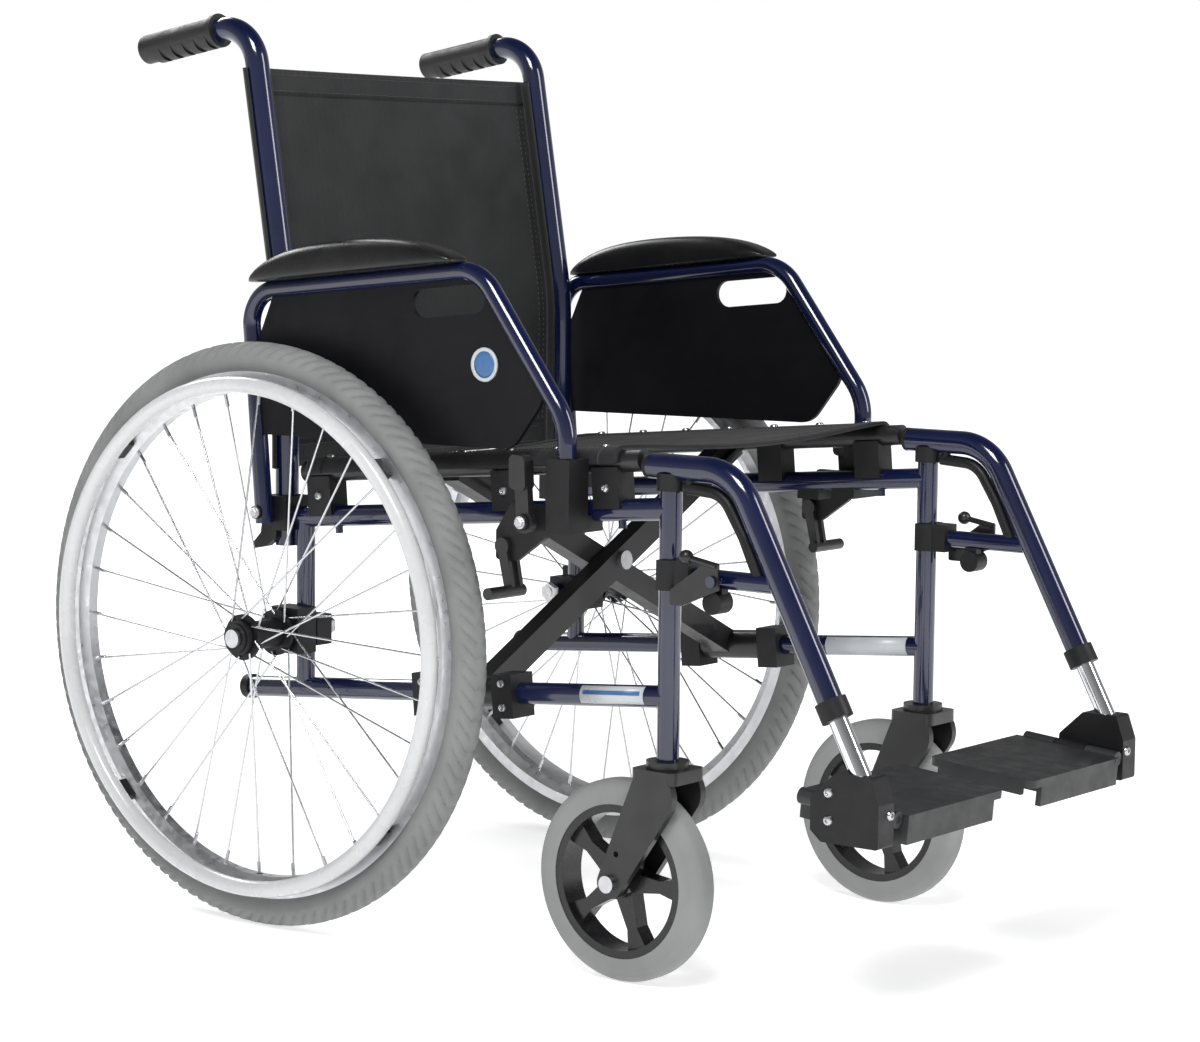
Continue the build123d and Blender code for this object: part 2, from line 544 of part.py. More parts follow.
socket = box(FRAME_X - 8, ARM_O + ck + 5, sk0, sk1, socket_z0, up_z(ARM_LEG_F) - 3)
socket += box(ARM_O - ck - 5, ARM_O + ck + 5, sk0, sk1, up_z(ARM_LEG_F) - 6, leg_floor)
for o0 in (ARM_O - ck - 5, ARM_O + ck):
    socket += box(o0, o0 + 5, sk0, sk1, leg_floor - 1, leg_floor + 34)
socket += box(ARM_O - ck - 5, ARM_O + ck + 5, ARM_LEG_F + ar + SIDE, sk1, leg_floor - 1, leg_floor + 34)
socket -= up_outer

# the brake hangs from the rail on a side plate just inside the tyre
BRAKE_F, SHOE_PIVOT_F, SHOE_PIVOT_Z = 350.0, 314.0, 421.0
LEVER_Z = 448.0
BRAKE_O = WHEEL_O - tr - 5.0          # outer face of the plate
PLATE_B = 6.0
SHOE_R = 6.0
mount = box(FRAME_X - 8, BRAKE_O - 1, 324, 352, up_z(338) - 19, up_z(338) - 3)
mount -= up_outer
mount += plate(BRAKE_O - PLATE_B, BRAKE_O, [(302, 407), (328, 407), (364, 432), (364, 464), (322, 464), (302, 436)],
               4.0, [(SHOE_PIVOT_F, SHOE_PIVOT_Z, 5.0 + RUN)])
LEVER_O = ARM_O + ck + 8.0
mount += cross(BRAKE_O - 2, LEVER_O + 8 + SIDE + 1, BRAKE_F, LEVER_Z, PIN_R)
mount += cross(LEVER_O + 8 + SIDE, LEVER_O + 8 + SIDE + 3, BRAKE_F, LEVER_Z, 8.0)
both("upper_mounts", group(*[biggest(x) for x in (bracket, socket, mount)]))

lever = plate(LEVER_O, LEVER_O + 8, [(342, 438), (358, 438), (356, 470), (353, 504), (336, 506), (340, 470)], 3.0)
lever += cross(LEVER_O, LEVER_O + 8, BRAKE_F, LEVER_Z, 11.0)
lever += plate(LEVER_O - 3, LEVER_O + 11, [(334, 480), (355, 478), (353, 512), (334, 514)], 6.0)
lever -= cross(LEVER_O - 10, LEVER_O + 20, BRAKE_F, LEVER_Z, PIN_R + RUN)
both("brake_lever", lever)

# shoe: bar across the tread on two arms, swinging about a barrel in the side plate
SHOE_L = 44.7
rad = Vector(0, 322.0, 377.0 - Z_AXLE).normalized()
shoe_f = SHOE_PIVOT_F + SHOE_L * rad.Z
shoe_z = SHOE_PIVOT_Z - SHOE_L * rad.Y
arm_o1 = BRAKE_O + SIDE
arm_o2 = BRAKE_O - PLATE_B - SIDE - 5
shoe = cross(arm_o2, arm_o1 + 5, SHOE_PIVOT_F, SHOE_PIVOT_Z, 5.0)
for o0 in (arm_o1, arm_o2):
    shoe += plate(o0, o0 + 5, [(SHOE_PIVOT_F - 6, SHOE_PIVOT_Z), (SHOE_PIVOT_F + 6, SHOE_PIVOT_Z),
                  (shoe_f + 5, shoe_z), (shoe_f - 5, shoe_z)])
    shoe += cross(o0, o0 + 5, SHOE_PIVOT_F, SHOE_PIVOT_Z, 8.5)
shoe += cross(arm_o2 - 3, WHEEL_O + tr - 2, shoe_f, shoe_z, SHOE_R)
both("brake_shoe", shoe)

# ================= hanger =================
ha = radians(HANGER_ANGLE)
hgr = HANGER_D / 2
bore_r = FOOT_TUBE_D / 2 + RUN


def slope(z):
    """Forward station of the hanger's sloping part at a height."""
    return HANGER_BEND_F + (HANGER_Z - z) * tan(ha)


h_end = V(FRAME_X, slope(HANGER_END_Z), HANGER_END_Z)
h_pts = [V(FRAME_X, FRONT_F - HANGER_BACK, HANGER_Z), V(FRAME_X, HANGER_BEND_F, HANGER_Z), h_end]
h_outer = sweep_tube(h_pts, [55.0], hgr)
hanger = sweep_tube(h_pts, [55.0], hgr, bore_r)
hanger += rod(V(FRAME_X, FRONT_F, FRONT_TOP - 34), V(FRAME_X, FRONT_F, HANGER_Z - bore_r - 1), fi - RUN)
xbar = rod(V(FRAME_X, FRONT_F + 17, CROSSBAR_Z), V(FRAME_X, slope(CROSSBAR_Z), CROSSBAR_Z), CROSSBAR_D / 2)
xbar = biggest(xbar - h_outer)
both("hanger_tube", group(biggest(hanger), xbar))

collar = rod(V(FRAME_X, FRONT_F, FRONT_TOP + SOFT), V(FRAME_X, FRONT_F, HANGER_Z - 6), fr + 3)
collar = collar - h_outer - rod(V(FRAME_X, FRONT_F, FRONT_TOP - 5), V(FRAME_X, FRONT_F, HANGER_Z), fi - RUN)
plug = rod(V(FRAME_X, FRONT_F - HANGER_BACK - 4, HANGER_Z), V(FRAME_X, FRONT_F - HANGER_BACK, HANGER_Z), hgr)
clasp = rod(V(FRAME_X, FRONT_F, CROSSBAR_Z - 14), V(FRAME_X, FRONT_F, CROSSBAR_Z + 15), fr + 7)
clasp += box(FRAME_X - 12, FRAME_X + 12, FRONT_F + 8, FRONT_F + 30, CROSSBAR_Z - 14, CROSSBAR_Z + 15)
clasp -= rod(V(FRAME_X, FRONT_F, CROSSBAR_Z - 20), V(FRAME_X, FRONT_F, CROSSBAR_Z + 20), fr + SOFT)
clasp -= box(FRAME_X - 40, FRAME_X + 40, FRONT_F - 40, FRONT_F - 4, CROSSBAR_Z - 20, CROSSBAR_Z + 20)
clasp -= rod(V(FRAME_X, FRONT_F + 17, CROSSBAR_Z), V(FRAME_X, 700, CROSSBAR_Z), CROSSBAR_D / 2)
hd = Vector(0, -sin(ha), -cos(ha))
end_ring = rod(h_end - hd * 16, h_end + hd * 3, hgr + 3) - h_outer
end_ring = end_ring - rod(h_end - hd * 20, h_end + hd * 20, FOOT_TUBE_D / 2 + SOFT)
knob = cross(FRAME_X - 8, FRAME_X + 12, 545, CROSSBAR_Z - 22, 11.0)
knob += box(FRAME_X - 5, FRAME_X + 5, 538, 552, CROSSBAR_Z - 20, CROSSBAR_Z - 3)
knob -= rod(V(FRAME_X, FRONT_F + 17, CROSSBAR_Z), V(FRAME_X, 700, CROSSBAR_Z), CROSSBAR_D / 2)
guard_pts = [V(FRAME_X, FRONT_F + 17, HANGER_Z - 19), V(FRAME_X, 548, HANGER_Z - 22),
             V(FRAME_X, slope(446) - 22, 446), V(FRAME_X, slope(416) - 21, CROSSBAR_Z + 6)]
guard = sweep_tube(guard_pts, [30.0, 30.0], 6.0)
guard += rod(V(FRAME_X, FRONT_F + 22, HANGER_Z - 19), V(FRAME_X, FRONT_F + 22, HANGER_Z - 8), 5.0)
guard = guard - h_outer - rod(V(FRAME_X, FRONT_F + 17, CROSSBAR_Z), V(FRAME_X, 700, CROSSBAR_Z), CROSSBAR_D / 2)
both("hanger_fittings", group(*[biggest(x) for x in (collar, plug, clasp, end_ring, knob, guard)]))

# latch: plate on the outer side of the crossbar, with a release rod and knob above it
LATCH_F = 552.0
lo = FRAME_X + fr + 7 + SIDE
latch = plate(lo, lo + 3, [(FRONT_F + 16, CROSSBAR_Z - 26), (FRONT_F + 30, CROSSBAR_Z - 26),
              (LATCH_F + 7, CROSSBAR_Z - 8), (LATCH_F + 7, CROSSBAR_Z + 18), (LATCH_F - 7, CROSSBAR_Z + 18),
              (FRONT_F + 16, CROSSBAR_Z - 12)], 2.5)
latch -= cross(lo - 5, lo + 8, LATCH_F, CROSSBAR_Z, 3.0 + RUN)
latch += rod(V(lo + 1.5, LATCH_F + 5, CROSSBAR_Z + 15), V(lo + 1.5, FRONT_F + 34, CROSSBAR_Z + 21), 3.0)
latch += Pos(V(lo + 1.5, FRONT_F + 34, CROSSBAR_Z + 21)) * Sphere(7.0)
both("hanger_latch", latch)
pin = cross(FRAME_X + 4, lo + 5, LATCH_F, CROSSBAR_Z, 3.0)
pin += cross(lo + 3 + SIDE / 2, lo + 6, LATCH_F, CROSSBAR_Z, 5.5)
for name in ("right", "left"):
    tubes = nodes[name + "_hanger_tube"]
    p = pin if name == "right" else mirror(pin, about=Plane.YZ)
    nodes[name + "_hanger_tube"] = group(*[(s + p) if i == 1 else s for i, s in enumerate(tubes.solids())])

# ================= footrest =================
ft_r = FOOT_TUBE_D / 2
ft_top = h_end - hd * FOOT_TUBE_IN
ft_end = V(FRAME_X, slope(FOOT_TUBE_Z), FOOT_TUBE_Z)
both("foot_tube", tube(ft_top, ft_end, ft_r, ft_r - 2.0))

hinge_dir = Vector(0, -cos(ptilt), sin(ptilt))


def H(o, a, b):
    """Point a along the footplate hinge line from its middle and b square above it."""
    return V(o, HINGE_F + a * cos(ptilt) - b * sin(ptilt), HINGE_Z + a * sin(ptilt) + b * cos(ptilt))


def hinge_box(o0, o1, a0, a1, b0, b1):
    pl = Plane(origin=H(0, 0, 0), x_dir=(1, 0, 0), z_dir=(0, sin(ptilt), cos(ptilt)))
    return pl * Pos(-(o0 + o1) / 2, -(a0 + a1) / 2, (b0 + b1) / 2) * Box(o1 - o0, a1 - a0, b1 - b0)


ft_solid = rod(ft_top, ft_end, ft_r)
clamp = plate(HINGE_O + 9, FRAME_X + CLAMP_T, [
    (CLAMP_TOE, CLAMP_LOW), (CLAMP_TOE, CLAMP_STEP), (CLAMP_TOE - 9, CLAMP_HIGH), (CLAMP_TOE - 48, CLAMP_HIGH),
    (HINGE_F - 20, CLAMP_STEP), (HINGE_F - 20, CLAMP_LOW + 10), (HINGE_F - 8, CLAMP_LOW)], 3.0)
clamp += hinge_box(HINGE_O, HINGE_O + 12, -17, 17, -8, 8)
clamp += rod(H(HINGE_O, -17, 0), H(HINGE_O, 17, 0), 8.0)
clamp += rod(H(HINGE_O, -PLATE_L / 2 + 6, 0), H(HINGE_O, PLATE_L / 2 - 6, 0), PIN_R)
clamp -= ft_solid
both("foot_clamp", biggest(clamp))

plate_o0 = PLATE_GAP / 2
plate_o1 = HINGE_O - 9.0
foot = hinge_box(plate_o0, plate_o1, -PLATE_L / 2, PLATE_L / 2, -PLATE_T / 2, PLATE_T / 2)
foot = fillet(foot.edges().filter_by(Axis((0, 0, 0), (0, sin(ptilt), cos(ptilt)))), 10.0)
sk = PLATE_SKIRT
for a0 in (-PLATE_L / 2, PLATE_L / 2 - 6):
    foot += hinge_box(plate_o0 + 20, plate_o1 - 6, a0, a0 + 6, -sk, 0)
foot += hinge_box(plate_o0, plate_o0 + 6, -PLATE_L / 2 + 12, PLATE_L / 2 - 12, -PLATE_LIP, 0)
foot += hinge_box(plate_o1 - 6, plate_o1, -PLATE_L / 2, PLATE_L / 2, -sk, PLATE_T / 2)
for o in (70.0, 115.0, 160.0):
    foot += hinge_box(o, o + 4, -PLATE_L / 2, PLATE_L / 2, -sk * 0.7, 0)
for a0, a1 in ((-PLATE_L / 2 + 6, -17 - SIDE), (17 + SIDE, PLATE_L / 2 - 6)):
    foot += rod(H(HINGE_O, a0, 0), H(HINGE_O, a1, 0), 8.0)
    foot += hinge_box(plate_o1 - 3, HINGE_O, a0, a1, -4, 4)
foot -= rod(H(HINGE_O, -PLATE_L, 0), H(HINGE_O, PLATE_L, 0), PIN_R + RUN)
both("footplate", foot)

# ================= write =================
os.makedirs("parts", exist_ok=True)
for name, shape in nodes.items():
    export_step(shape, os.path.join("parts", name + ".step"))
print(len(nodes), "nodes, Y0 =", round(Y0, 3), "fold angle at rest", round(degrees(alpha), 3))
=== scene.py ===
import json
from math import atan2, cos, hypot, pi, radians, sin

import bmesh
import bpy
from mathutils import Matrix, Vector


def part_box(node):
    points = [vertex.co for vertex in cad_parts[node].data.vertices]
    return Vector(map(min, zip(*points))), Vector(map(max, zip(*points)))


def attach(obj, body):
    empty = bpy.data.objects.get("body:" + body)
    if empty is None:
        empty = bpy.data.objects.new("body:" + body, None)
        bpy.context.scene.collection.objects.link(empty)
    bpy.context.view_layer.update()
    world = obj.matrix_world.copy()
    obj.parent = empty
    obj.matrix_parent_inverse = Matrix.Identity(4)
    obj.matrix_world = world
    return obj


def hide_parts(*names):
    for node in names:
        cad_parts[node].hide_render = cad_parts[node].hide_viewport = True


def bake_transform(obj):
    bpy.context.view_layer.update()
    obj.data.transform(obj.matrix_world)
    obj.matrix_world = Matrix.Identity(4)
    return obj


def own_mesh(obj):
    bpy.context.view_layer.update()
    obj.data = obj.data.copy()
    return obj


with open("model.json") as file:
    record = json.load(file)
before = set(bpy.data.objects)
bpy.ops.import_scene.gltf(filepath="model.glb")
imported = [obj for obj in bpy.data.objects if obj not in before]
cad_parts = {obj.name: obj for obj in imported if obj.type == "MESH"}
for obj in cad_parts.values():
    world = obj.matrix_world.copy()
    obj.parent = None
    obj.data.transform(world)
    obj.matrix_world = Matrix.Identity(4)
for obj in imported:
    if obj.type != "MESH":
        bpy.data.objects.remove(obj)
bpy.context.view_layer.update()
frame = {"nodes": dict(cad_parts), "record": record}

# Folding wheelchair, in metres: +Z up, the chair faces -Y and its right side is -X.
NODES = frame["nodes"]
JOINTS = {j["name"]: j for j in frame["record"]["behaviour"]["joints"]}
SIDES = (("right", -1), ("left", 1))
MM = 0.001


def joint_at(name):
    return Vector(JOINTS[name]["pos_m"])


# ---- the frame's own directions and sizes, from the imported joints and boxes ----
ALONG = Vector(JOINTS["fold"]["axis"])                  # forward along the rails
UPWARD = Vector((0, ALONG.z, -ALONG.y))                 # square to them
FRAME_X = abs(joint_at("fold").x)
RAIL = Vector((0, joint_at("fold").y, joint_at("fold").z))
SEAT_T = 2 * (joint_at("cross_pivot") - RAIL).dot(UPWARD)
TUBE_R = 11.0 * MM
AXLE = joint_at("right_wheel_spin")
WHEEL_X = abs(AXLE.x)
TYRE_LOW, TYRE_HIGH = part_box("right_tyre")
WHEEL_R = (TYRE_HIGH.z - TYRE_LOW.z) / 2
TYRE_R = (TYRE_HIGH.x - TYRE_LOW.x) / 2


def at_rail(x, s, t):
    """s forward of the brace pivots along the rails, t square to the lower rail."""
    return Vector((x, RAIL.y, RAIL.z)) + ALONG * s + UPWARD * t


# ================= materials =================
NOISE_RANGE = (0.3, 0.7)
WAVE_TURN = 20             # radians that a wave texture of scale 1 turns through in a metre
WEAVE_RADIAN = 1.6 * MM    # length of one radian of the weave's waves, so it repeats every 10 mm


def new_material(name, color, rough, metal=0.0, coat=0.0, coat_rough=0.05, specular=0.5, sheen=0.0):
    m = bpy.data.materials.new(name)
    m.use_nodes = True
    b = m.node_tree.nodes["Principled BSDF"]
    b.inputs["Base Color"].default_value = (*color, 1)
    b.inputs["Roughness"].default_value = rough
    b.inputs["Metallic"].default_value = metal
    b.inputs["Coat Weight"].default_value = coat
    b.inputs["Coat Roughness"].default_value = coat_rough
    b.inputs["Specular IOR Level"].default_value = specular
    b.inputs["Sheen Weight"].default_value = sheen
    return m


def place(m, scale=(1, 1, 1)):
    """Object coordinates, scaled along each axis."""
    nt = m.node_tree
    tc = nt.nodes.new("ShaderNodeTexCoord")
    mp = nt.nodes.new("ShaderNodeMapping")
    mp.inputs["Scale"].default_value = scale
    nt.links.new(tc.outputs["Object"], mp.inputs["Vector"])
    return mp.outputs["Vector"]


def noise(m, scale, detail=3.0, stretch=(1, 1, 1)):
    n = m.node_tree.nodes.new("ShaderNodeTexNoise")
    n.inputs["Scale"].default_value = scale
    n.inputs["Detail"].default_value = detail
    m.node_tree.links.new(place(m, stretch), n.inputs["Vector"])
    return n.outputs["Fac"]


def span(m, value, low, high):
    """Noise, which stays mostly within NOISE_RANGE, laid over low..high."""
    r = m.node_tree.nodes.new("ShaderNodeMapRange")
    r.inputs["From Min"].default_value, r.inputs["From Max"].default_value = NOISE_RANGE
    r.inputs["To Min"].default_value = low
    r.inputs["To Max"].default_value = high
    m.node_tree.links.new(value, r.inputs["Value"])
    return r.outputs["Result"]


def vary_rough(m, value, low, high):
    m.node_tree.links.new(span(m, value, low, high), m.node_tree.nodes["Principled BSDF"].inputs["Roughness"])


def vary_color(m, value, dark, light):
    mix = m.node_tree.nodes.new("ShaderNodeMix")
    mix.data_type = "RGBA"
    mix.inputs["A"].default_value = (*dark, 1)
    mix.inputs["B"].default_value = (*light, 1)
    m.node_tree.links.new(span(m, value, 0, 1), mix.inputs["Factor"])
    m.node_tree.links.new(mix.outputs["Result"], m.node_tree.nodes["Principled BSDF"].inputs["Base Color"])


def bump(m, value, strength, distance):
    b = m.node_tree.nodes.new("ShaderNodeBump")
    b.inputs["Strength"].default_value = strength
    b.inputs["Distance"].default_value = distance
    m.node_tree.links.new(value, b.inputs["Height"])
    m.node_tree.links.new(b.outputs["Normal"], m.node_tree.nodes["Principled BSDF"].inputs["Normal"])


def weave(m, across, up):
    """Plain weave: two waves at right angles, multiplied."""
    nt = m.node_tree
    found = []
    for axis in (across, up):
        w = nt.nodes.new("ShaderNodeTexWave")
        w.wave_type = "BANDS"
        w.bands_direction = axis
        w.inputs["Scale"].default_value = 1.0 / WEAVE_RADIAN / WAVE_TURN
        w.inputs["Distortion"].default_value = 0.4
        nt.links.new(place(m), w.inputs["Vector"])
        found.append(w.outputs["Fac"])
    mul = nt.nodes.new("ShaderNodeMath")
    mul.operation = "MULTIPLY"
    nt.links.new(found[0], mul.inputs[0])
    nt.links.new(found[1], mul.inputs[1])
    return mul.outputs["Value"]


def painted(name, color, light, rough, coat):
    m = new_material(name, color, rough, coat=coat)
    vary_color(m, noise(m, 9.0), color, light)
    vary_rough(m, noise(m, 40.0), rough * 0.8, rough * 1.35)
    bump(m, noise(m, 320.0, 2.0), 0.04, 0.0004)
    return m


def moulded(name, color, light, rough, grain, strength, specular=0.5):
    m = new_material(name, color, rough, specular=specular)
    vary_color(m, noise(m, 14.0), color, light)
    vary_rough(m, noise(m, 60.0), rough * 0.85, rough * 1.2)
    bump(m, noise(m, grain, 4.0), strength, 0.0005)
    return m


def plated(name, color, rough, stretch):
    m = new_material(name, color, rough, metal=1.0)
    vary_rough(m, noise(m, 120.0, 4.0, stretch), rough * 0.7, rough * 1.5)
    bump(m, noise(m, 240.0, 2.0, stretch), 0.05, 0.0002)
    return m


def cloth(name, color, light, across, up):
    m = new_material(name, color, 0.72, specular=0.25, sheen=0.12)
    vary_color(m, noise(m, 7.0, 5.0), color, light)
    vary_rough(m, noise(m, 25.0), 0.6, 0.85)
    bump(m, weave(m, across, up), 0.35, 0.0005)
    return m


NAVY = painted("frame_paint", (0.0030, 0.0060, 0.034), (0.0045, 0.0085, 0.046), 0.15, 0.7)
BLACK_PAINT = painted("black_paint", (0.009, 0.009, 0.010), (0.015, 0.015, 0.017), 0.36, 0.15)
BLACK = moulded("black_plastic", (0.0075, 0.0075, 0.0085), (0.0135, 0.0135, 0.015), 0.45, 900.0, 0.18, 0.32)
GRIP = moulded("grip_rubber", (0.008, 0.008, 0.009), (0.015, 0.015, 0.016), 0.52, 700.0, 0.25)
STEEL = plated("plated_steel", (0.58, 0.58, 0.60), 0.28, (1, 1, 1))
CHROME = plated("chrome_tube", (0.80, 0.81, 0.83), 0.07, (1, 1, 0.1))
TYRE = moulded("rear_tyre", (0.195, 0.200, 0.198), (0.250, 0.255, 0.253), 0.82, 800.0, 0.30)
CASTER_TYRE = moulded("caster_tyre", (0.240, 0.245, 0.243), (0.290, 0.295, 0.293), 0.70, 600.0, 0.15)
RIM = plated("rim_metal", (0.66, 0.67, 0.69), 0.36, (1, 1, 1))
SPOKE = plated("spoke_steel", (0.66, 0.67, 0.69), 0.22, (1, 1, 1))
HANDRIM = painted("hand_rim", (0.58, 0.59, 0.60), (0.66, 0.67, 0.68), 0.24, 0.5)
CASTER_HUB = moulded("caster_hub", (0.006, 0.006, 0.007), (0.011, 0.011, 0.012), 0.26, 500.0, 0.05)
PAD = moulded("pad_skin", (0.006, 0.006, 0.007), (0.011, 0.011, 0.012), 0.30, 420.0, 0.16, 0.42)
PANEL = moulded("side_panel", (0.005, 0.005, 0.0065), (0.008, 0.008, 0.010), 0.46, 1200.0, 0.12, 0.16)
FOOTPLATE = moulded("footplate_plastic", (0.016, 0.017, 0.018), (0.030, 0.031, 0.033), 0.48, 700.0, 0.25)
SEAT_CLOTH = cloth("seat_cloth", (0.010, 0.010, 0.0115), (0.019, 0.019, 0.021), "X", "Y")
BACK_CLOTH = cloth("back_cloth", (0.011, 0.0115, 0.012), (0.021, 0.022, 0.023), "X", "Z")
LABEL = moulded("label_silver", (0.50, 0.53, 0.56), (0.58, 0.61, 0.64), 0.30, 300.0, 0.03)
LABEL_BLUE = moulded("label_blue", (0.045, 0.13, 0.31), (0.065, 0.17, 0.37), 0.30, 300.0, 0.03)
THREAD = moulded("thread", (0.050, 0.050, 0.054), (0.075, 0.075, 0.080), 0.70, 900.0, 0.2)

LOOKS = {
    "frame_paint": NAVY, "black_paint": BLACK_PAINT, "black_plastic": BLACK, "grip_rubber": GRIP,
    "plated_steel": STEEL, "chrome_tube": CHROME, "rear_tyre": TYRE, "caster_tyre": CASTER_TYRE,
    "rim_metal": RIM, "spoke_steel": SPOKE, "hand_rim": HANDRIM, "caster_hub": CASTER_HUB,
    "pad_skin": PAD, "side_panel": PANEL, "sling_cloth": SEAT_CLOTH, "footplate_plastic": FOOTPLATE,
}
for part in frame["record"]["subparts"]:
    node = NODES[part["node"]]
    node.data.materials.clear()
    node.data.materials.append(LOOKS[part["material_slot"]])


# ================= mesh helpers =================
def shade_smooth(me):
    me.polygons.foreach_set("use_smooth", [True] * len(me.polygons))


def piece(name, verts, faces, body, slot, material):
    """A mesh object with its material, which rides on a body if one is named; the slot argument is not used."""
    me = bpy.data.meshes.new(name)
    me.from_pydata([tuple(v) for v in verts], [], faces)
    me.validate()
    bm = bmesh.new()
    bm.from_mesh(me)
    bmesh.ops.remove_doubles(bm, verts=bm.verts, dist=1e-6)
    bmesh.ops.recalc_face_normals(bm, faces=bm.faces)
    bm.to_mesh(me)
    bm.free()
    shade_smooth(me)
    ob = bpy.data.objects.new(name, me)
    bpy.context.scene.collection.objects.link(ob)
    me.materials.append(material)
    if body:
        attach(ob, body)
    return ob


def apply_modifiers(ob):
    bpy.context.view_layer.update()
    me = bpy.data.meshes.new_from_object(ob.evaluated_get(bpy.context.evaluated_depsgraph_get()))
    ob.modifiers.clear()
    ob.data = me
    return ob


def sharpen(ob, degrees=32):
    """Smooth shading that keeps edges sharper than this angle."""
    ob.data.set_sharp_from_angle(angle=radians(degrees))
    return ob


def join(parts):
    """One (verts, faces) list from several."""
    verts, faces = [], []
    for v, f in parts:
        base = len(verts)
        verts += list(v)
        faces += [tuple(i + base for i in face) for face in f]
    return verts, faces


def lathe(profile, centre, axis, n=32):
    """A profile of (radius, height) turned about an axis, closed where the radius is 0."""
    axis = Vector(axis).normalized()
    side = axis.orthogonal().normalized()
    other = axis.cross(side)
    verts, faces = [], []
    for k in range(n):
        a = 2 * pi * k / n
        out = side * cos(a) + other * sin(a)
        verts += [Vector(centre) + out * r + axis * h for r, h in profile]
    m = len(profile)
    for k in range(n):
        nxt = (k + 1) % n
        for j in range(m - 1):
            faces.append((k * m + j, nxt * m + j, nxt * m + j + 1, k * m + j + 1))
    return verts, faces


def button_head(centre, axis, r, h):
    """Domed screw head with a round socket."""
    profile = [(0, h * 0.45), (r * 0.40, h * 0.45), (r * 0.45, h), (r * 0.78, h * 0.86), (r * 0.96, h * 0.45),
               (r, 0), (0, 0)]
    return lathe(profile, centre, axis, 20)


def hex_bolt(centre, axis, r, h):
    """Hexagon head on a round washer."""
    washer = lathe([(0, h * 0.25), (r * 1.25, h * 0.25), (r * 1.3, 0), (0, 0)], centre, axis, 24)
    head = lathe([(0, h), (r * 0.86, h), (r, h * 0.85), (r, h * 0.25), (0, h * 0.25)], centre, axis, 6)
    return join([washer, head])


def cylinder(p, q, r, n, bevel=0.0):
    d = q - p
    length = d.length
    if bevel:
        profile = [(0, 0), (r - bevel, 0), (r, bevel), (r, length - bevel), (r - bevel, length), (0, length)]
    else:
        profile = [(0, 0), (r, 0), (r, length), (0, length)]
    return lathe(profile, p, d, n)


def grid(rows, close_rows=False):
    """Quads over rows of points of equal length."""
    verts = [v for row in rows for v in row]
    m, n = len(rows[0]), len(rows)
    faces = []
    for i in range(n if close_rows else n - 1):
        j = (i + 1) % n
        faces += [(i * m + k, i * m + k + 1, j * m + k + 1, j * m + k) for k in range(m - 1)]
    return verts, faces


# ================= camera, light, floor =================
CAMERA_AT = Vector((-2.5771, AXLE.y - 2.2508, 0.7619))
CAMERA_LOOK = Vector((0.7783, 0.6191, -0.1042)).normalized()
CAMERA_ROLL = 0.01024
cam = bpy.data.cameras.new("camera")
cam.sensor_width = 36.0
cam.lens = 92.81
cam.shift_x = 0.0125
cam_ob = bpy.data.objects.new("camera", cam)
bpy.context.scene.collection.objects.link(cam_ob)
right = CAMERA_LOOK.cross(Vector((0, 0, 1))).normalized()
up = right.cross(CAMERA_LOOK)
tilted = right * cos(CAMERA_ROLL) + up * sin(CAMERA_ROLL)
upright = up * cos(CAMERA_ROLL) - right * sin(CAMERA_ROLL)
cam_ob.matrix_world = Matrix.Translation(CAMERA_AT) @ Matrix((tilted, upright, -CAMERA_LOOK)).transposed().to_4x4()
bpy.context.scene.camera = cam_ob

world = bpy.data.worlds.new("world")
world.use_nodes = True
# white behind the object, and a soft light on it that is brightest near the horizon
wt = world.node_tree
background = wt.nodes["Background"]
background.inputs["Color"].default_value = (1.0, 1.0, 1.0, 1)
direction = wt.nodes.new("ShaderNodeTexCoord")
split = wt.nodes.new("ShaderNodeSeparateXYZ")
height = wt.nodes.new("ShaderNodeMapRange")
for socket, value in (("From Min", -0.1), ("From Max", 0.85), ("To Min", 0.50), ("To Max", 0.05)):
    height.inputs[socket].default_value = value
seen = wt.nodes.new("ShaderNodeLightPath")
pick = wt.nodes.new("ShaderNodeMix")
pick.inputs["B"].default_value = 1.0
wt.links.new(direction.outputs["Generated"], split.inputs["Vector"])
wt.links.new(split.outputs["Z"], height.inputs["Value"])
wt.links.new(height.outputs["Result"], pick.inputs["A"])
wt.links.new(seen.outputs["Is Camera Ray"], pick.inputs["Factor"])
wt.links.new(pick.outputs["Result"], background.inputs["Strength"])
bpy.context.scene.world = world
bpy.context.scene.view_settings.view_transform = "Standard"


def softbox(name, at, aim, width, height, power):
    light = bpy.data.lights.new(name, "AREA")
    light.shape = "RECTANGLE"
    light.size, light.size_y, light.energy = width, height, power
    ob = bpy.data.objects.new(name, light)
    bpy.context.scene.collection.objects.link(ob)
    ob.location = at
    ob.rotation_euler = (Vector(aim) - Vector(at)).to_track_quat("-Z", "Y").to_euler()


softbox("key", (-2.2, -1.2, 3.2), (0, 0, 0.4), 1.2, 1.2, 95)
softbox("front", (1.2, -3.4, 2.0), (0, 0, 0.5), 0.9, 2.4, 55)
softbox("rim", (0.6, 2.8, 2.6), (0, 0, 0.6), 2.0, 1.0, 55)

FLOOR = 14.0               # half the floor's side
floor_verts = [(-FLOOR, -FLOOR, 0), (FLOOR, -FLOOR, 0), (FLOOR, FLOOR, 0), (-FLOOR, FLOOR, 0)]
floor_mesh = bpy.data.meshes.new("floor")
floor_mesh.from_pydata(floor_verts, [], [(0, 1, 2, 3)])
floor = bpy.data.objects.new("floor", floor_mesh)
bpy.context.scene.collection.objects.link(floor)
paper = new_material("floor_paper", (0.80, 0.80, 0.80), 0.9, specular=0.0)
paper.node_tree.nodes["Principled BSDF"].inputs["Emission Color"].default_value = (1, 1, 1, 1)
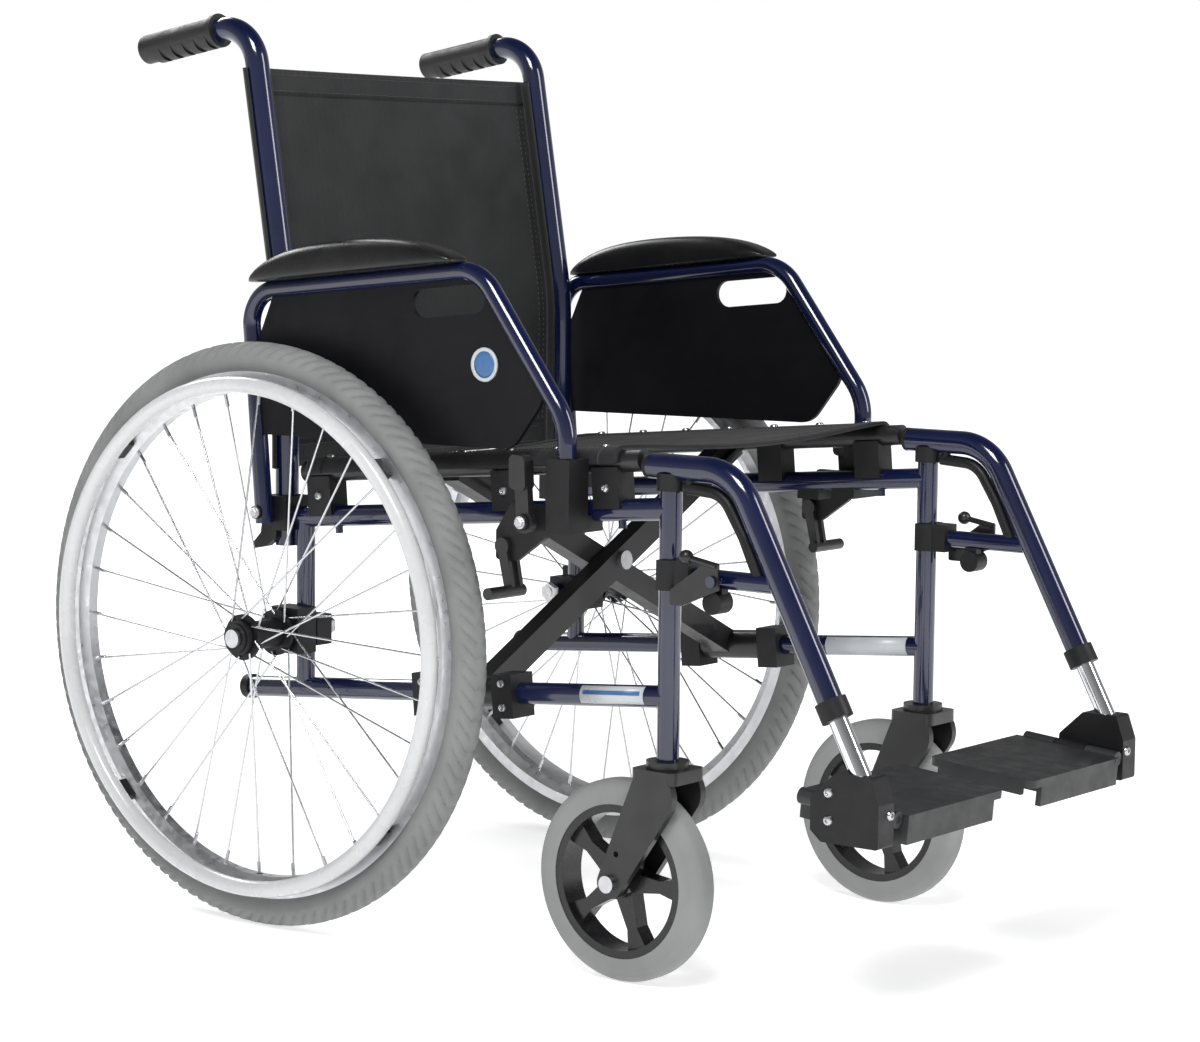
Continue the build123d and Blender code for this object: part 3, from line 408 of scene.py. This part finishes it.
# painted light: the paper glows, more strongly away from the object, so the far floor shows plain white where the
# lamps' light falls off
nt = paper.node_tree
spread = nt.nodes.new("ShaderNodeVectorMath")
spread.operation = "LENGTH"
painted_glow = nt.nodes.new("ShaderNodeMapRange")
for socket, value in (("From Min", 0.7), ("From Max", 2.6), ("To Min", 0.60), ("To Max", 1.05)):
    painted_glow.inputs[socket].default_value = value
nt.links.new(place(paper), spread.inputs[0])
nt.links.new(spread.outputs["Value"], painted_glow.inputs["Value"])
nt.links.new(painted_glow.outputs["Result"], nt.nodes["Principled BSDF"].inputs["Emission Strength"])
floor_mesh.materials.append(paper)

# ================= rear tyres =================
TREAD_STEPS = 720          # sections round the tyre
TREAD_PITCH = 6            # sections from one tread block to the next
TREAD_GAP = 2              # sections in the groove between two blocks
TREAD_SLANT = 6            # sections that a groove leans, for each radian from the crown
SECTION_STEPS = 34         # points round one section
GROOVE = 2.0 * MM
CENTRE_GROOVE = (0.17, 0.26)   # beside the centre band, as angles from the crown
SHOULDER = radians(72)         # where the tread ends
BEAD_W = 8.8 * MM
BEAD_R = 9.0 * MM          # from the rim's lip in to the tyre's foot
RIM_LOW, RIM_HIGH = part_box("right_rim")
RIM_R = (RIM_HIGH.z - RIM_LOW.z) / 2


def tread_depth(k, a):
    """How deep the tread is cut at section k, angle a round the tyre's section from its crown."""
    s = abs(a)
    if s > SHOULDER:
        return 0.0
    if CENTRE_GROOVE[0] < s < CENTRE_GROOVE[1]:
        return GROOVE
    if s >= CENTRE_GROOVE[1]:
        slant = int(round(s * TREAD_SLANT))
        return GROOVE if (k + slant) % TREAD_PITCH < TREAD_GAP else 0.0
    return GROOVE * 0.7 if (k + TREAD_PITCH // 2) % (2 * TREAD_PITCH) < TREAD_GAP else 0.0


def tyre(side, sign):
    x0 = sign * WHEEL_X
    foot = RIM_R + 0.6 * MM
    rc = WHEEL_R - TYRE_R
    low = RIM_R - BEAD_R
    a_end = pi - atan2(BEAD_W, rc - foot + TYRE_R * 0.18) * 0.9
    angles = [-a_end + 2 * a_end * j / SECTION_STEPS for j in range(SECTION_STEPS + 1)]
    rows = []
    for k in range(TREAD_STEPS):
        t = 2 * pi * k / TREAD_STEPS
        out = Vector((0, cos(t), sin(t)))
        row = []
        for a in angles:
            r = TYRE_R - tread_depth(k, a)
            row.append(Vector((x0 + r * sin(a), AXLE.y, AXLE.z)) + out * (rc + r * cos(a)))
        row += [Vector((x0 + w, AXLE.y, AXLE.z)) + out * low for w in (BEAD_W, -BEAD_W)]
        row.append(row[0])
        rows.append(row)
    v, f = grid(rows, close_rows=True)
    ob = piece(side + "_rear_tyre", v, f, side + "_rear_wheel", "rear_tyre", TYRE)
    sharpen(ob, 40)
    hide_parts(side + "_tyre")


for side, sign in SIDES:
    tyre(side, sign)

# ================= spoke nipples =================
SPOKES = 32
RIM_IN = RIM_R - 22.0 * MM     # inner wall of the rim
NIPPLE_L = 13.0 * MM
NIPPLE_R = 1.9 * MM
NIPPLE_LEAD = 1.2 * MM         # how far a nipple leans towards its spoke
for side, sign in SIDES:
    parts = []
    base = Vector((sign * WHEEL_X, AXLE.y, AXLE.z))
    for k in range(SPOKES):
        t = 2 * pi * k / SPOKES
        out = Vector((0, -cos(t), sin(t)))
        lead = Vector(((sign if k % 2 == 0 else -sign) * NIPPLE_LEAD, 0, 0))
        parts.append(cylinder(base + out * (RIM_IN - NIPPLE_L) + lead, base + out * (RIM_IN + 0.5 * MM),
                              NIPPLE_R, 8, 0.4 * MM))
    ob = piece(side + "_spoke_nipples", *join(parts), side + "_rear_wheel", "spoke_steel", STEEL)
    sharpen(ob)

# ================= slings =================
CLOTH_T = 3.0 * MM
SEAT_S = 205.0 * MM        # half the length of the seat cloth along the rails
SEAT_MID = 7.0 * MM        # middle of the cloth, forward of the brace pivots
SEAT_SAG = 7.0 * MM
SEAT_WRAP = (-8, 90)       # degrees round a seat tube, from its outer side to its top
HEM_W = 22.0 * MM
HEM_PROUD = 0.5 * MM       # how far a hem's fold stands past the cloth's edge


def thicken(ob, thickness):
    mod = ob.modifiers.new("thickness", "SOLIDIFY")
    mod.thickness = thickness
    mod.offset = 0
    mod.use_even_offset = True
    return apply_modifiers(ob)


def seat_profile(r):
    """Across the chair, (x, t): round the outer side of one seat tube, over, and down the other."""
    wrap = [radians(SEAT_WRAP[0] + (SEAT_WRAP[1] - SEAT_WRAP[0]) * k / 9) for k in range(10)]
    pts = [(-FRAME_X - r * cos(a), SEAT_T + r * sin(a)) for a in wrap]
    n = 36
    for k in range(1, n):
        u = -1 + 2 * k / n
        pts.append((FRAME_X * u, SEAT_T + r - SEAT_SAG * (1 - u * u) ** 1.5))
    return pts + [(FRAME_X + r * cos(a), SEAT_T + r * sin(a)) for a in reversed(wrap)]


def edge_dip(s):
    """The cloth's free edges dip a little more than its middle, by this factor."""
    return 1 + 0.5 * abs((s - SEAT_MID) / SEAT_S) ** 6


def seat_strip(name, s0, s1, r, thickness, material, rows=48):
    """Part of the seat cloth from s0 to s1, r from the tubes' axes."""
    prof = seat_profile(r)
    grid_rows = []
    for k in range(rows + 1):
        s = s0 + (s1 - s0) * k / rows
        dip = edge_dip(s)
        grid_rows.append([at_rail(x, s, SEAT_T + r - (SEAT_T + r - t) * (dip if abs(x) < FRAME_X else 1))
                          for x, t in prof])
    return thicken(piece(name, *grid(grid_rows), None, "sling_cloth", material), thickness)


def blend_seat(ob):
    """Bakes the cloth's placement into its mesh; it is not tied to either seat tube's body."""
    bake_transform(ob)


seat_r = TUBE_R + 0.6 * MM + CLOTH_T / 2
seat = seat_strip("seat_cloth", SEAT_MID - SEAT_S, SEAT_MID + SEAT_S, seat_r, CLOTH_T, SEAT_CLOTH)
blend_seat(seat)
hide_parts("seat_sling")
for name, s0, s1 in (("front", SEAT_MID + SEAT_S - HEM_W, SEAT_MID + SEAT_S + HEM_PROUD),
                     ("rear", SEAT_MID - SEAT_S - HEM_PROUD, SEAT_MID - SEAT_S + HEM_W)):
    hem = seat_strip("seat_hem_" + name, s0, s1, seat_r + CLOTH_T / 2 + 0.4 * MM, 1.2 * MM, SEAT_CLOTH, 6)
    blend_seat(hem)

STITCH = 5.0 * MM          # from one stitch to the next
STITCH_SHARE = 0.62        # how much of that its thread fills
THREAD_R = 0.45 * MM


def stitches(points):
    """Short threads laid along a line of points, with a gap after each."""
    parts = []
    for p, q in zip(points, points[1:]):
        n = max(1, round((q - p).length / STITCH))
        for k in range(n):
            parts.append(cylinder(p.lerp(q, k / n), p.lerp(q, (k + STITCH_SHARE) / n), THREAD_R, 5))
    return parts


def seat_top(x, s, lift):
    """A point at this height over the upper face of the seat cloth."""
    sag = SEAT_SAG * (1 - (x / FRAME_X) ** 2) ** 1.5 * edge_dip(s)
    return at_rail(x, s, SEAT_T + seat_r + CLOTH_T / 2 + lift - sag)


# two rows along each hem, and one beside each seat tube
parts = []
across = [-0.93 * FRAME_X + 1.86 * FRAME_X * k / 24 for k in range(25)]
for inset in (4.5 * MM, HEM_W - 4.0 * MM):
    for end in (-1, 1):
        parts += stitches([seat_top(x, SEAT_MID + end * (SEAT_S - inset), 1.3 * MM) for x in across])
run = [SEAT_MID - SEAT_S + HEM_W + 2 * (SEAT_S - HEM_W) * k / 24 for k in range(25)]
for x in (-0.86 * FRAME_X, 0.86 * FRAME_X):
    parts += stitches([seat_top(x, s, 0.2 * MM) for s in run])
seat_thread = piece("seat_stitches", *join(parts), None, "sling_cloth", THREAD)
blend_seat(seat_thread)

# screws hold the cloth on each seat tube
SEAT_SCREWS = 7
seat_screw_t = SEAT_T + seat_r + CLOTH_T / 2 - 0.3 * MM
for side, sign in SIDES:
    body = "brace_b" if side == "right" else "brace_a"
    parts = []
    for k in range(SEAT_SCREWS):
        s = SEAT_MID + (k - (SEAT_SCREWS - 1) / 2) * 2 * (SEAT_S - HEM_W) / (SEAT_SCREWS - 1)
        parts.append(button_head(at_rail(sign * FRAME_X, s, seat_screw_t), UPWARD, 4.6 * MM, 2.6 * MM))
    ob = piece(side + "_seat_screws", *join(parts), body, "plated_steel", STEEL)
    sharpen(ob)

# ---- back sling: a panel behind the canes, and a sleeve round the rear of each ----
CANE_R = 12.5 * MM
CANE_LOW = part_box("right_back_cane")[0]
SLING_LOW, SLING_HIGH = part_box("back_sling")
CANE_Y = SLING_LOW.y + 2.0 * MM          # axis of the upright part
BEND_Z = CANE_LOW.z + 252.0 * MM
LEAN = (SLING_HIGH.y - SLING_LOW.y - 4.0 * MM) / (SLING_HIGH.z - BEND_Z)
BEND_SPREAD = 26.0 * MM


def cane_y(z):
    """The cane's axis, with its gentle bend."""
    d = z - BEND_Z
    if d <= -BEND_SPREAD:
        return CANE_Y
    if d >= BEND_SPREAD:
        return CANE_Y + LEAN * d
    return CANE_Y + LEAN * (d + BEND_SPREAD) ** 2 / (4 * BEND_SPREAD)


BACK_LOW = SLING_LOW.z
BACK_HIGH = SLING_HIGH.z
back_r = CANE_R + 0.8 * MM + CLOTH_T / 2
SEAM_X = FRAME_X - 2.0 * MM             # where the sleeves are sewn to the panel
BACK_SAG = 16.0 * MM
BACK_HEM_W = 26.0 * MM
BACK_HEM_PROUD = 0.8 * MM


def back_y(z, u):
    """y of the panel's mid-surface, which sags to the rear, with u from -1 at one seam to 1 at the other."""
    v = min(max((z - BACK_LOW) / (BACK_HIGH - BACK_LOW), 0), 1)
    return cane_y(z) + back_r + BACK_SAG * (0.75 + 0.3 * sin(pi * v)) * (1 - u * u) ** 1.2


def back_section(z, n=34):
    """Across the chair at a height, (x, y), from seam to seam."""
    return [(SEAM_X * u, back_y(z, u)) for u in [-1 + 2 * k / n for k in range(n + 1)]]


ROWS = 56
rows = []
for k in range(ROWS + 1):
    z = BACK_LOW + (BACK_HIGH - BACK_LOW) * k / ROWS
    rows.append([Vector((x, y, z)) for x, y in back_section(z)])
back = piece("back_panel", *grid(rows), None, "sling_cloth", BACK_CLOTH)
thicken(back, CLOTH_T)
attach(back, "right_frame")
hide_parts("back_sling")


def squash_back(ob):
    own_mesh(ob)


squash_back(back)
mid = back_section((BACK_LOW + BACK_HIGH) / 2)
for name, z0, z1 in (("top", BACK_HIGH - BACK_HEM_W, BACK_HIGH + BACK_HEM_PROUD),
                     ("low", BACK_LOW - BACK_HEM_PROUD, BACK_LOW + BACK_HEM_W)):
    hem_rows = []
    for k in range(5):
        z = z0 + (z1 - z0) * k / 4
        hem_rows.append([Vector((x, y - CLOTH_T / 2 - 0.5 * MM, z)) for x, y in back_section(z)])
    hem = piece("back_hem_" + name, *grid(hem_rows), None, "sling_cloth", BACK_CLOTH)
    thicken(hem, 1.3 * MM)
    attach(hem, "right_frame")
    squash_back(hem)

# stitches along the hems and beside each sleeve, on both faces of the panel
parts = []
COLUMN_END = 30 * MM       # the upright rows stop this far from the panel's edges
column_z = [BACK_LOW + COLUMN_END + (BACK_HIGH - BACK_LOW - 2 * COLUMN_END) * k / 30 for k in range(31)]
for face in (-1, 1):
    off = CLOTH_T / 2 + 0.2 * MM
    lift = off + (1.1 * MM if face < 0 else 0)      # the hems are on the front
    for z in (BACK_LOW + 22 * MM, BACK_LOW + 5 * MM, BACK_HIGH - 22 * MM, BACK_HIGH - 5 * MM):
        parts += stitches([Vector((x, y + face * lift, z)) for x, y in back_section(z, 24)[1:-1]])
    for inset in (12 * MM, 19 * MM):
        x = SEAM_X - inset
        for sgn in (-1, 1):
            parts += stitches([Vector((sgn * x, back_y(z, x / SEAM_X) + face * off, z)) for z in column_z])
back_thread = piece("back_stitches", *join(parts), None, "sling_cloth", THREAD)
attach(back_thread, "right_frame")
squash_back(back_thread)

SLEEVE_ARC = (radians(-12), radians(172))   # from the panel's seam round the rear to the outer side
for side, sign in SIDES:
    rows = []
    for k in range(ROWS + 1):
        z = BACK_LOW + (BACK_HIGH - BACK_LOW) * k / ROWS
        row = []
        for j in range(15):
            a = SLEEVE_ARC[0] + (SLEEVE_ARC[1] - SLEEVE_ARC[0]) * j / 14
            row.append(Vector((sign * (FRAME_X - back_r * cos(a)), cane_y(z) + back_r * sin(a), z)))
        rows.append(row)
    sleeve = piece(side + "_back_sleeve", *grid(rows), None, "sling_cloth", BACK_CLOTH)
    thicken(sleeve, CLOTH_T * 0.8)
    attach(sleeve, side + "_frame")

# ================= arm pads =================
PAD_RINGS = 40
PAD_SIDES = 32
PAD_CROWN = 34.0 * MM
PAD_ROUND = 7.0 * MM       # the rounding below its widest line
PAD_TILT = radians(5.5)


def arm_pad(side, sign):
    low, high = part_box(side + "_arm_pad")
    length = high.y - low.y
    half_w = (high.x - low.x) / 2
    x0 = (high.x + low.x) / 2
    # the underside rises forward with the armrest's tube
    base_rear = low.z + 1.0 * MM
    rows = []
    for k in range(PAD_RINGS + 1):
        u = k / PAD_RINGS
        u_eased = 0.5 - 0.5 * cos(pi * u)
        y = high.y - length * u_eased
        end = (1 - abs(2 * u_eased - 1) ** 5.0) ** (1 / 2.6)
        base = base_rear + length * u_eased * sin(PAD_TILT) + 1.5 * MM * (1 - end)
        crown = (0.52 + 0.48 * sin(pi * min(1, u_eased * 0.92 + 0.10)) ** 0.8) * PAD_CROWN
        h = max(crown * (0.35 + 0.65 * end), 3 * MM) * end + 1.0 * MM
        w = half_w * (0.30 + 0.70 * end) * (0.90 + 0.10 * u_eased) if end > 0 else half_w * 0.2
        row = []
        for j in range(PAD_SIDES):
            a = 2 * pi * j / PAD_SIDES
            cx, cz = cos(a), sin(a)
            px = x0 + w * (abs(cx) ** 0.62) * (1 if cx >= 0 else -1)
            if cz >= 0:
                pz = base + PAD_ROUND * end + (h - PAD_ROUND * end) * cz ** 0.80
            else:
                pz = base + PAD_ROUND * end * (1 - abs(cz) ** 0.45)
            row.append(Vector((px, y, pz)))
        row.append(row[0])
        rows.append(row)
    verts, faces = grid(rows)
    n = len(rows[0])
    faces.append(tuple(range(n - 1)))
    faces.append(tuple(reversed(range(PAD_RINGS * n, PAD_RINGS * n + n - 1))))
    ob = piece(side + "_arm_pad_skin", verts, faces, None, "pad_skin", PAD)
    mod = ob.modifiers.new("smooth", "SUBSURF")
    mod.levels = mod.render_levels = 1
    apply_modifiers(ob)
    shade_smooth(ob.data)
    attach(ob, side + "_armrest")
    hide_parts(side + "_arm_pad")


for side, sign in SIDES:
    arm_pad(side, sign)

# ================= badge on each side panel =================
BADGE_AT = (0.19, 0.51)    # across and up the panel, as shares of its box


def outer_x(low, high, sign):
    return high.x if sign > 0 else low.x


for side, sign in SIDES:
    low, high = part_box(side + "_arm_panel")
    centre = Vector((outer_x(low, high, sign), low.y + BADGE_AT[0] * (high.y - low.y),
                     low.z + BADGE_AT[1] * (high.z - low.z)))
    out = (sign, 0, 0)
    ring = lathe([(0, 0.9 * MM), (13.2 * MM, 0.9 * MM), (13.6 * MM, 1.9 * MM), (16.6 * MM, 1.9 * MM),
                  (17.2 * MM, 0), (0, 0)], centre, out, 48)
    piece(side + "_badge_ring", *ring, side + "_armrest", "plated_steel", LABEL)
    face = lathe([(0, 1.5 * MM), (9 * MM, 1.45 * MM), (13.1 * MM, 1.1 * MM), (13.1 * MM, 0.2 * MM), (0, 0.2 * MM)],
                 centre, out, 48)
    piece(side + "_badge_face", *face, side + "_armrest", "plated_steel", LABEL_BLUE)


# ================= blank labels on the lower rails =================
def rail_label(name, sign, s0, s1, a0, a1, material, lift=0.35):
    """A thin curved strip on a lower rail, from angle a0 to a1 (0 is outboard, 90 up)."""
    rows = []
    for k in range(13):
        a = radians(a0 + (a1 - a0) * k / 12)
        r = TUBE_R + lift * MM
        rows.append([at_rail(sign * (FRAME_X + r * cos(a)), s, r * sin(a)) for s in (s0, s1)])
    ob = piece(name, *grid(rows), None, "plated_steel", material)
    thicken(ob, 0.35 * MM)
    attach(ob, ("right" if sign < 0 else "left") + "_frame")


rail_label("right_rail_label", -1, 0.148, 0.226, -38, 62, LABEL)
rail_label("right_rail_label_bar", -1, 0.152, 0.222, 10, 30, LABEL_BLUE, 0.75)
rail_label("left_rail_label", 1, 0.128, 0.232, 120, 240, LABEL)

# ================= fasteners =================
BEARING_FACE = FRAME_X + 17.0 * MM       # outer face of the brace's bearing blocks
BEARING_S = 53.0 * MM                    # the blocks, forward and back of the middle
BEARING_SCREWS_T = (-13.0 * MM, 11.0 * MM)
SADDLE_FACE = FRAME_X + 13.0 * MM        # outer face of the seat tubes' saddles
SADDLE_S = (-184.0 * MM, 68.0 * MM, 196.0 * MM)
SADDLE_T = 202.8 * MM
FLIP_BOLT_OUT = 13.4 * MM                # from the armrest's pivot to its bolt's seat
LEVER_BOLT_X = 288.5 * MM
CLAMP_SCREWS_DZ = (-12.0 * MM, 14.0 * MM)
CLAMP_FRONT_SCREW = (222.0 * MM, 30.0 * MM)     # from the middle of the chair, and up from the clamp's foot
RIVETS = 5
RIVET_CIRCLE = 12.5 * MM
RIVET_SUNK = 2.4 * MM

for side, sign in SIDES:
    out = Vector((sign, 0, 0))
    parts = []
    for s in (-BEARING_S, BEARING_S):
        for t in BEARING_SCREWS_T:
            parts.append(button_head(at_rail(sign * BEARING_FACE, s, t), out, 4.2 * MM, 2.6 * MM))
    for s in SADDLE_S:
        parts.append(button_head(at_rail(sign * SADDLE_FACE, s, SADDLE_T), out, 4.6 * MM, 2.8 * MM))
    pivot = joint_at(side + "_armrest_flip")
    parts.append(hex_bolt(pivot + out * FLIP_BOLT_OUT, out, 5.0 * MM, 4.0 * MM))
    lever = joint_at(side + "_brake_lever")
    parts.append(hex_bolt(Vector((sign * LEVER_BOLT_X, lever.y, lever.z)), out, 5.0 * MM, 4.2 * MM))
    sharpen(piece(side + "_frame_bolts", *join(parts), side + "_frame", "plated_steel", STEEL))
    # two screws in the outer face of each footplate clamp, and one in its front
    low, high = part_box(side + "_foot_clamp")
    face = outer_x(low, high, sign)
    mid = (low + high) / 2
    parts = [button_head(Vector((face, mid.y, mid.z + dz)), out, 5.0 * MM, 3.0 * MM) for dz in CLAMP_SCREWS_DZ]
    parts.append(button_head(Vector((sign * CLAMP_FRONT_SCREW[0], low.y, low.z + CLAMP_FRONT_SCREW[1])),
                             (0, -1, 0), 5.0 * MM, 3.0 * MM))
    sharpen(piece(side + "_clamp_screws", *join(parts), side + "_foot", "plated_steel", STEEL))
    # rivets round each caster hub, on both faces
    spin = joint_at(side + "_caster_spin")
    low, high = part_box(side + "_caster_hub")
    parts = []
    for face, way in ((high.x, 1), (low.x, -1)):
        for k in range(RIVETS):
            a = 2 * pi * (k + 0.5) / RIVETS
            at = Vector((face - way * RIVET_SUNK, spin.y + RIVET_CIRCLE * cos(a), spin.z + RIVET_CIRCLE * sin(a)))
            parts.append(button_head(at, (way, 0, 0), 2.0 * MM, 3.2 * MM))
    ob = piece(side + "_caster_rivets", *join(parts), side + "_caster_wheel", "plated_steel", STEEL)
    sharpen(ob)
